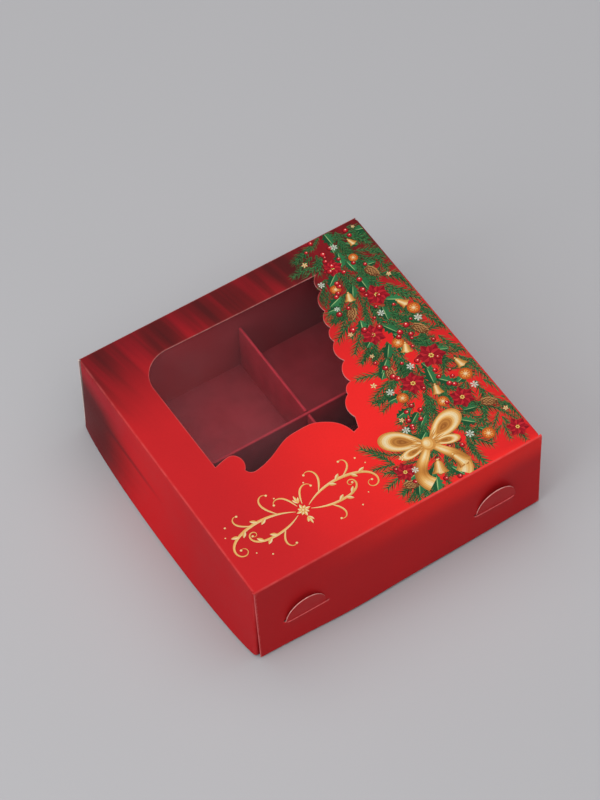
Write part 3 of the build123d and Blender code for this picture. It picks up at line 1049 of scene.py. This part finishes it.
def snowflake():
    shape = Stencil()
    for i in range(6):
        a = i * pi / 3
        shape.leaf((0, 0), a, 1.9, 0.2, (1.0, 0.8), i, rows=3)
        for reach in (0.75, 1.2):
            root = reach * cos(a), reach * sin(a)
            for side in (1, -1):
                shape.leaf(root, a + side * radians(55), 0.6, 0.11, (0.9, 0.9), i + 0.5, rows=2)
    return shape.made("snowflake")


def spark():
    shape = Stencil()
    for i in range(5):
        shape.leaf((0, 0), pi / 2 + i * 2 * pi / 5, 1.5, 0.42, (1.0, 0.5), i * 0.2, rows=2)
    return shape.made("spark")


# Geometry Nodes that lay one shape at many points of the sheet
def laying_tree(name, own_inputs):
    """A new tree with the inputs that every laying needs and its own, each given with its kind."""
    tree = bpy.data.node_groups.new(name, "GeometryNodeTree")
    inputs = {"Geometry": "Geometry", "Shape": "Object", "Layers": "Int", "Layer height": "Float"}
    for label, kind in (inputs | {"Look": "Material"} | own_inputs).items():
        tree.interface.new_socket(label, in_out="INPUT", socket_type="NodeSocket" + kind)
    tree.interface.new_socket("Geometry", in_out="OUTPUT", socket_type="NodeSocketGeometry")
    return tree, tree.nodes.new("NodeGroupInput").outputs


def stored(tree, label):
    made = add(tree, "GeometryNodeInputNamedAttribute", {"Name": label}, data_type="FLOAT")
    return made.outputs["Attribute"]


def store(tree, points, label, value):
    inputs = {"Geometry": points, "Name": label, "Value": value}
    return add(tree, "GeometryNodeStoreNamedAttribute", inputs, data_type="FLOAT", domain="POINT").outputs[0]


def layer_lift(tree, given):
    """How high a point's shape lies: the points take the layers in turn."""
    rank = maths(tree, "MODULO", add(tree, "GeometryNodeInputIndex").outputs[0], given["Layers"])
    return maths(tree, "MULTIPLY", rank, given["Layer height"])


def lay(tree, given, points, turn, size):
    """Lays the shape at the points, each with its turn and size, as plain geometry in its look."""
    euler = add(tree, "ShaderNodeCombineXYZ", {2: turn}).outputs[0]
    facing = add(tree, "FunctionNodeEulerToRotation", {0: euler}).outputs[0]
    scale = add(tree, "ShaderNodeCombineXYZ", {0: size, 1: size, 2: 1.0}).outputs[0]
    source = add(tree, "GeometryNodeObjectInfo", {"Object": given["Shape"]}).outputs["Geometry"]
    inputs = {"Points": points, "Instance": source, "Rotation": facing, "Scale": scale}
    laid = add(tree, "GeometryNodeInstanceOnPoints", inputs).outputs[0]
    real = add(tree, "GeometryNodeRealizeInstances", {"Geometry": laid}).outputs[0]
    done = add(tree, "GeometryNodeSetMaterial", {"Geometry": real, "Material": given["Look"]}).outputs[0]
    tree.links.new(done, tree.nodes.new("NodeGroupOutput").inputs[0])
    return tree


def lay_shapes_tree():
    """Lays the shape at given points, which hold its turn and its size."""
    tree, given = laying_tree("lay shapes", {})
    lift = add(tree, "ShaderNodeCombineXYZ", {2: layer_lift(tree, given)}).outputs[0]
    raised = add(tree, "GeometryNodeSetPosition", {"Geometry": given["Geometry"], "Offset": lift}).outputs[0]
    return lay(tree, given, raised, stored(tree, "turn"), stored(tree, "size"))


def lay_along_tree():
    """Lays the shape at random beside a line, leaning outwards, each with a random tint."""
    tree, given = laying_tree("lay along a line", {
        "Count": "Int", "Half width": "Float", "Lean": "Float", "Least size": "Float", "Most size": "Float",
        "Seed": "Int"})

    def chance(low, high, more):
        inputs = {2: low, 3: high, "Seed": maths(tree, "ADD", given["Seed"], more)}
        return add(tree, "FunctionNodeRandomValue", inputs, data_type="FLOAT").outputs[1]

    inputs = {"Curve": given["Geometry"], "Count": given["Count"]}
    points = add(tree, "GeometryNodeCurveToPoints", inputs, mode="COUNT")
    heading = add(tree, "ShaderNodeSeparateXYZ", {0: points.outputs["Tangent"]}).outputs
    kept = store(tree, points.outputs["Points"], "heading", maths(tree, "ARCTAN2", heading[1], heading[0]))
    angle = stored(tree, "heading")
    share = chance(-1.0, 1.0, 0)
    aside = maths(tree, "MULTIPLY", share, given["Half width"])
    off_x = maths(tree, "MULTIPLY", maths(tree, "SINE", angle), maths(tree, "MULTIPLY", aside, -1.0))
    off_y = maths(tree, "MULTIPLY", maths(tree, "COSINE", angle), aside)
    offset = add(tree, "ShaderNodeCombineXYZ", {0: off_x, 1: off_y, 2: layer_lift(tree, given)}).outputs[0]
    moved = add(tree, "GeometryNodeSetPosition", {"Geometry": kept, "Offset": offset}).outputs[0]
    leaning = maths(tree, "MULTIPLY_ADD", share, given["Lean"], angle)
    turn = maths(tree, "ADD", leaning, chance(-0.6, 0.6, 1))
    size = chance(given["Least size"], given["Most size"], 2)
    return lay(tree, given, store(tree, moved, "tint", chance(0.0, 1.0, 3)), turn, size)


shapes_tree, line_tree = lay_shapes_tree(), lay_along_tree()


def settle(name, carrier, tree, settings):
    """Runs a tree on its carrier, keeps the result as a plain mesh and deletes the carrier."""
    modifier = carrier.modifiers.new("lay", "NODES")
    modifier.node_group = tree
    identifiers = {item.name: item.identifier for item in tree.interface.items_tree if item.in_out == "INPUT"}
    for label, value in settings.items():
        modifier[identifiers[label]] = value
    bpy.context.view_layer.update()
    seen = carrier.evaluated_get(bpy.context.evaluated_depsgraph_get())
    mesh = bpy.data.meshes.new_from_object(seen)
    mesh.name = name
    carrier.modifiers.remove(modifier)
    bpy.data.objects.remove(carrier)
    return linked(name, mesh)


window_margin = 0.7 * MM


def trim_to_top(piece):
    """Cuts a printed piece along the creases and the window's edge, as the sheet was cut."""
    work = bmesh.new()
    work.from_mesh(piece.data)
    for x, y in ((1, 0), (0, 1), (0, -1), (-1, 0)):
        parts = work.verts[:] + work.edges[:] + work.faces[:]
        plane = {"plane_co": (x * edge_x, y * edge_y, 0), "plane_no": (x, y, 0)}
        bmesh.ops.bisect_plane(work, geom=parts, clear_outer=True, dist=touching / 10, **plane)
    faces = work.faces[:]
    middles = [face.calc_center_median()[:2] for face in faces]
    in_window = inside(middles, window) | (gap_to(middles, window) < window_margin)
    bmesh.ops.delete(work, geom=[face for face, cut in zip(faces, in_window) if cut], context="FACES")
    work.to_mesh(piece.data)
    work.free()


def on_lid(piece):
    trim_to_top(piece)
    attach(piece, "lid_top")


next_ink = [board_top + 0.002 * MM]
layer_height = 0.0008 * MM


def next_level(layers):
    """The height at which the next ink lies, so that later inks cover earlier ones."""
    here = next_ink[0]
    next_ink[0] += layer_height * layers
    return here


def lay_at(name, shape, look, layers, own_layers, spots):
    """One shape at chosen points, given as x, y in millimetres, turn in degrees and size."""
    base = next_level(layers + own_layers)
    mesh = bpy.data.meshes.new(name + " points")
    mesh.from_pydata([(x * MM, y * MM, base) for x, y, *_ in spots], [], [])
    _, _, turns, sizes = zip(*spots)
    for label, values in (("turn", [radians(t) for t in turns]), ("size", sizes)):
        mesh.attributes.new(label, "FLOAT", "POINT").data.foreach_set("value", np.array(values, np.float32))
    settings = {"Shape": shape, "Layers": layers, "Layer height": layer_height, "Look": look}
    on_lid(settle(name, linked(name + " points", mesh), shapes_tree, settings))


def lay_along(name, shape, look, line, count, half_wide, lean, least, most, seed, layers):
    """One shape many times at random beside a line, whose points are given in millimetres."""
    base = next_level(layers + 2)
    curve = bpy.data.curves.new(name + " line", "CURVE")
    curve.dimensions = "3D"
    spline = curve.splines.new("NURBS")
    spline.points.add(len(line) - 1)
    for point, (x, y) in zip(spline.points, line):
        point.co = (x * MM, y * MM, base, 1.0)
    spline.order_u, spline.use_endpoint_u, spline.resolution_u = 4, True, 16
    settings = {
        "Shape": shape, "Count": count, "Half width": half_wide * MM, "Lean": lean, "Least size": least,
        "Most size": most, "Layers": layers, "Layer height": layer_height, "Seed": seed, "Look": look}
    on_lid(settle(name, linked(name + " line", curve), line_tree, settings))


def ink_look(name, roughness, *stops):
    """A printed ink whose colour follows the tone of each face and the tint of each shape."""
    made, tree, shader = material(name, roughness, Specular_IOR_Level=0.07)
    tone = add(tree, "ShaderNodeAttribute", attribute_name="tone").outputs["Fac"]
    tint = add(tree, "ShaderNodeAttribute", attribute_name="tint").outputs["Fac"]
    surface = use(tree, fibre, Place=object_place(tree), Tooth=0.2)
    shade = maths(tree, "MULTIPLY_ADD", tint, 0.34, 0.82)
    shade = maths(tree, "MULTIPLY", shade, ease(tree, surface["Mottle"], 0.2, 0.8, 0.9, 1.1))
    tree.links.new(shaded(tree, ramp(tree, tone, *stops), shade), shader["Base Color"])
    tree.links.new(surface["Normal"], shader["Normal"])
    return made


fir_ink = ink_look(
    "fir ink", 0.45, (0.0, 70, 52, 32), (0.12, 18, 52, 36), (0.5, 34, 92, 52), (1.0, 74, 138, 80))
holly_ink = ink_look(
    "holly ink", 0.4, (0.0, 14, 50, 34), (0.5, 26, 84, 50), (0.85, 52, 122, 74), (1.0, 150, 184, 120))
berry_ink = ink_look(
    "berry ink", 0.35, (0.0, 90, 12, 22), (0.35, 176, 24, 36), (0.7, 222, 52, 52), (1.0, 255, 214, 196))
flower_ink = ink_look(
    "star flower ink", 0.4, (0.0, 96, 12, 24), (0.4, 168, 22, 38), (0.8, 216, 44, 54), (0.88, 226, 168, 60),
    (1.0, 255, 226, 130))
cone_ink = ink_look("cone ink", 0.5, (0.0, 58, 30, 20), (0.4, 116, 66, 38), (1.0, 206, 150, 92))
gold_ink = ink_look(
    "gold ink", 0.35, (0.0, 142, 76, 28), (0.35, 216, 144, 66), (0.7, 250, 194, 112), (1.0, 255, 232, 182))
frost_ink = ink_look("frost ink", 0.45, (0.0, 170, 196, 178), (1.0, 236, 240, 222))
slice_ink = ink_look(
    "orange slice ink", 0.4, (0.0, 140, 60, 20), (0.4, 214, 96, 34), (0.6, 240, 140, 52), (0.8, 248, 206, 128),
    (1.0, 255, 236, 190))

garland = (40, 53), (37, 42), (40, 28), (34, 12), (37, -6), (32, -20), (33, -33), (22, -42), (9, -44)
edge_line = (50, 36), (48, 20), (50, 4), (48, -12), (50, -28), (47, -44)
sprig, holly, fruit = fir_sprig(), holly_leaf(), berry()
lay_along("print_fir_edge", sprig, fir_ink, edge_line, 80, 5.0, 1.25, 0.7, 1.0, 31, 10)
lay_along("print_fir_under", sprig, fir_ink, garland, 170, 10.5, 1.25, 0.7, 1.05, 3, 14)
lay_along("print_fir_over", sprig, fir_ink, garland, 110, 7.0, 0.9, 0.55, 0.85, 11, 10)
lay_along("print_holly", holly, holly_ink, garland, 48, 10.5, 1.5, 0.7, 1.05, 5, 8)
lay_at("print_cones", fir_cone(), cone_ink, 1, 12, (
    (45, 31, 20, 0.85), (30, 20, -35, 0.8), (45, 3, 30, 0.9), (27, -7, -20, 0.8), (47, -33, 60, 0.85),
    (9, -46, 70, 0.8)))
lay_at("print_orange_slices", orange_slice(), slice_ink, 1, 1, (
    (31, 31, 0, 0.8), (48, 11, 8, 0.95), (36, 2, 15, 0.9), (25, -17, 4, 0.85), (47, -20, 12, 1.0),
    (35, -25, 2, 0.85), (40, -43, 20, 0.95), (43, 39, 10, 0.7)))
lay_at("print_star_flowers", star_flower(), flower_ink, 1, 8, (
    (35, 39, 0, 0.72), (41, 22, 25, 0.9), (31, 9, 10, 0.85), (42, -8, 40, 1.0), (31, -14, 5, 0.9),
    (41, -27, 15, 0.85), (49, -46, 30, 0.75), (10, -41, 20, 0.75)))
lay_along("print_berries", fruit, berry_ink, garland, 84, 11.0, 0.5, 0.6, 1.15, 23, 4)
lay_at("print_bells", bell(), gold_ink, 1, 2, (
    (46, 45, 15, 0.55), (33, 26, -20, 0.7), (46, 15, 30, 0.72), (37, -1, -25, 0.75), (48, -15, 10, 0.75),
    (36, -20, -15, 0.75)))
lay_at("print_bow", ribbon_bow(), gold_ink, 1, 4, ((22, -36, -8, 1.1),))
lay_at("print_bow_bells", bell(), gold_ink, 2, 2, ((20, -45, -22, 1.0), (27, -46, 18, 1.05)))
lay_at("print_sparks", spark(), gold_ink, 1, 1, (
    (28, 45, 0, 0.8), (50, 50, 20, 0.5), (25, 13, 10, 0.7), (20, -8, 30, 0.8), (49, 27, 0, 0.7),
    (26, 2, 12, 0.6), (50, -38, 0, 0.7), (20, -24, 25, 0.7), (12, -36, 8, 0.8)))
lay_at("print_snowflakes", snowflake(), frost_ink, 1, 4, (
    (40, 46, 10, 0.75), (28, 35, 0, 0.75), (38, 15, 15, 0.75), (27, 24, 5, 0.6), (47, 7, 0, 0.85),
    (23, -13, 20, 0.8), (34, -8, 0, 0.8), (47, -25, 10, 0.8), (19, -28, 12, 0.8), (35, -40, 0, 0.85),
    (13, -42, 5, 0.7)))
lay_at("print_flourish", scroll_flourish(), gold_ink, 1, 8, ((-24, -35.5, 0, 1.0),))
for shape in stencils:
    bpy.data.objects.remove(shape)


# Finishes of the pieces that keep their CAD shape
def dress(name, look):
    piece = nodes[name]
    piece.data.materials.clear()
    piece.data.materials.append(look)


for name in nodes:
    if name.startswith("tray_"):
        dress(name, well_back_painted_light if name == "tray_inner_wall_back" else tray_print)
    elif name.startswith("divider_"):
        dress(name, divider_print)
dress("window_film", film_look)

# Table
table_look, table_tree, table_shader = material("table", 0.85)
cloudy = noise(table_tree, object_place(table_tree), 6.0)
greys = blend_colours(table_tree, cloudy, ink(182, 182, 185), ink(186, 185, 188))
table_tree.links.new(greys, table_shader["Base Color"])
table_reach, table_level = 3.0, -0.05 * MM
table_corners = [
    (x * table_reach, y * table_reach, table_level) for x, y in ((-1, -1), (1, -1), (1, 1), (-1, 1))]
table_mesh = bpy.data.meshes.new("table")
table_mesh.from_pydata(table_corners, [], [(0, 1, 2, 3)])
table_mesh.materials.append(table_look)
table = linked("table", table_mesh)


# Lamps
def lamp(name, place, size, power):
    """A square lamp that faces the middle of the table."""
    light = bpy.data.lights.new(name, "AREA")
    light.shape, light.size, light.energy = "SQUARE", size, power
    made = linked(name, light)
    made.location = place
    made.rotation_euler = (-Vector(place)).to_track_quat("-Z", "Y").to_euler()


lamp("overhead soft box", (-0.03, -0.03, 1.05), 1.7, 12.1)
lamp("left soft box", (-0.82, -0.12, 0.5), 0.6, 2.9)
world = bpy.data.worlds.new("room")
bpy.context.scene.world = world
world.use_nodes = True
room_light = world.node_tree.nodes["Background"].inputs
room_light["Color"].default_value = (1.0, 1.0, 1.0, 1.0)
room_light["Strength"].default_value = 0.23

# Camera, at the photograph's angle and distance
camera_place = Vector((-0.28738, -0.47412, 0.80589))
camera_azimuth, camera_height, camera_roll = radians(30.994), radians(54.277), radians(-2.001)
level = cos(camera_height)
toward_camera = Vector((-sin(camera_azimuth) * level, -cos(camera_azimuth) * level, sin(camera_height)))
level_right = Vector((0, 0, 1)).cross(toward_camera).normalized()
level_up = toward_camera.cross(level_right)
camera_right = level_right * cos(camera_roll) + level_up * sin(camera_roll)
camera_up = level_up * cos(camera_roll) - level_right * sin(camera_roll)
lens = bpy.data.cameras.new("camera")
lens.lens, lens.sensor_fit, lens.sensor_height = 135.0, "VERTICAL", 36.0
lens.clip_start, lens.clip_end = 0.01, 20.0
camera = linked("camera", lens)
turn = Matrix((camera_right, camera_up, toward_camera)).transposed()
camera.matrix_world = Matrix.Translation(camera_place) @ turn.to_4x4()
bpy.context.scene.camera = camera
bpy.context.scene.view_settings.view_transform = "Standard"
